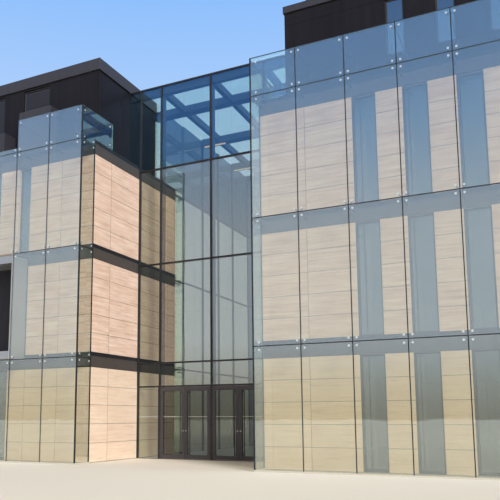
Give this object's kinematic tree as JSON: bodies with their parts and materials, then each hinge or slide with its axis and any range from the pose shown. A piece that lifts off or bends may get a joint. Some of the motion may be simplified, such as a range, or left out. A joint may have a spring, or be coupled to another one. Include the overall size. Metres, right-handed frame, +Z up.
{
  "type": "town hall building",
  "caption": "Modern town hall: two stone wings behind point-fixed glass screens, joined by a tall glazed entrance hall with hinged double doors and set-back dark metal roof storeys.",
  "frame": {"origin": "on the ground at the middle of the plan, which is on the centre line of the hall", "axes": "+Z up, +X to the right wing's end, -Y is the entrance front"},
  "size_m": [24.3, 19.1, 16.73],
  "materials": {
    "stone_cladding": "honed travertine in long courses",
    "floor_stone": "honed stone slabs",
    "concrete": "smooth concrete",
    "screen_glass": "clear laminated sheets, joints sealed in black",
    "hall_glass": "clear double glazing with a blue tint",
    "door_glass": "clear toughened glass",
    "dark_cladding": "matt near-black cassettes",
    "pale_metal": "satin pale grey sheet",
    "band_metal": "satin brown-grey sheet",
    "window_metal": "satin dark grey",
    "dark_frame": "satin black",
    "painted_steel": "satin blue-grey paint",
    "door_metal": "satin dark bronze anodised",
    "stainless_steel": "brushed stainless",
    "pull_steel": "satin black",
    "lamp_cover": "opal cover"
  },
  "bodies": {
    "building": {"left_front_wall": "stone_cladding", "left_rear_wall": "stone_cladding", "left_hall_wall": "stone_cladding", "left_end_wall": "stone_cladding", "left_glass_screens": "screen_glass", "left_attic_walls": "dark_cladding", "left_attic_roof": "dark_cladding", "loggia_surround": "pale_metal", "right_front_wall": "stone_cladding", "right_rear_wall": "stone_cladding", "right_hall_wall": "stone_cladding", "right_end_wall": "stone_cladding", "right_glass_screens": "screen_glass", "right_attic_walls": "dark_cladding", "right_attic_roof": "dark_cladding", "floor_slabs": "concrete", "floor_bands": "band_metal", "louvre_panels": "dark_cladding", "roof_housings": "dark_cladding", "window_frames": "window_metal", "window_panes": "hall_glass", "screen_fixings": "stainless_steel", "screen_rails": "dark_frame", "hall_floor": "floor_stone", "hall_posts": "dark_frame", "hall_transoms": "dark_frame", "hall_panes": "hall_glass", "hall_columns": "painted_steel", "hall_cross_beams": "painted_steel", "hall_long_beams": "painted_steel", "hall_roof_panes": "hall_glass", "hall_light_bars": "lamp_cover"},
    "door_1": {"door_1_frame": "door_metal", "door_1_glass": "door_glass", "door_1_pulls": "pull_steel"},
    "door_2": {"door_2_frame": "door_metal", "door_2_glass": "door_glass", "door_2_pulls": "pull_steel"},
    "door_3": {"door_3_frame": "door_metal", "door_3_glass": "door_glass", "door_3_pulls": "pull_steel"},
    "door_4": {"door_4_frame": "door_metal", "door_4_glass": "door_glass", "door_4_pulls": "pull_steel"}
  },
  "joints": [
    {"name": "door_1_hinge", "type": "hinge", "parent": "building", "child": "door_1", "pos_m": [-2.182, -5.594, 0], "axis": [0, 0, -1], "range_deg": [0, 90]},
    {"name": "door_2_hinge", "type": "hinge", "parent": "building", "child": "door_2", "pos_m": [-0.103, -5.594, 0], "axis": [0, 0, 1], "range_deg": [0, 90]},
    {"name": "door_3_hinge", "type": "hinge", "parent": "building", "child": "door_3", "pos_m": [0.013, -5.594, 0], "axis": [0, 0, -1], "range_deg": [0, 90]},
    {"name": "door_4_hinge", "type": "hinge", "parent": "building", "child": "door_4", "pos_m": [2.092, -5.594, 0], "axis": [0, 0, 1], "range_deg": [0, 90]}
  ]
}
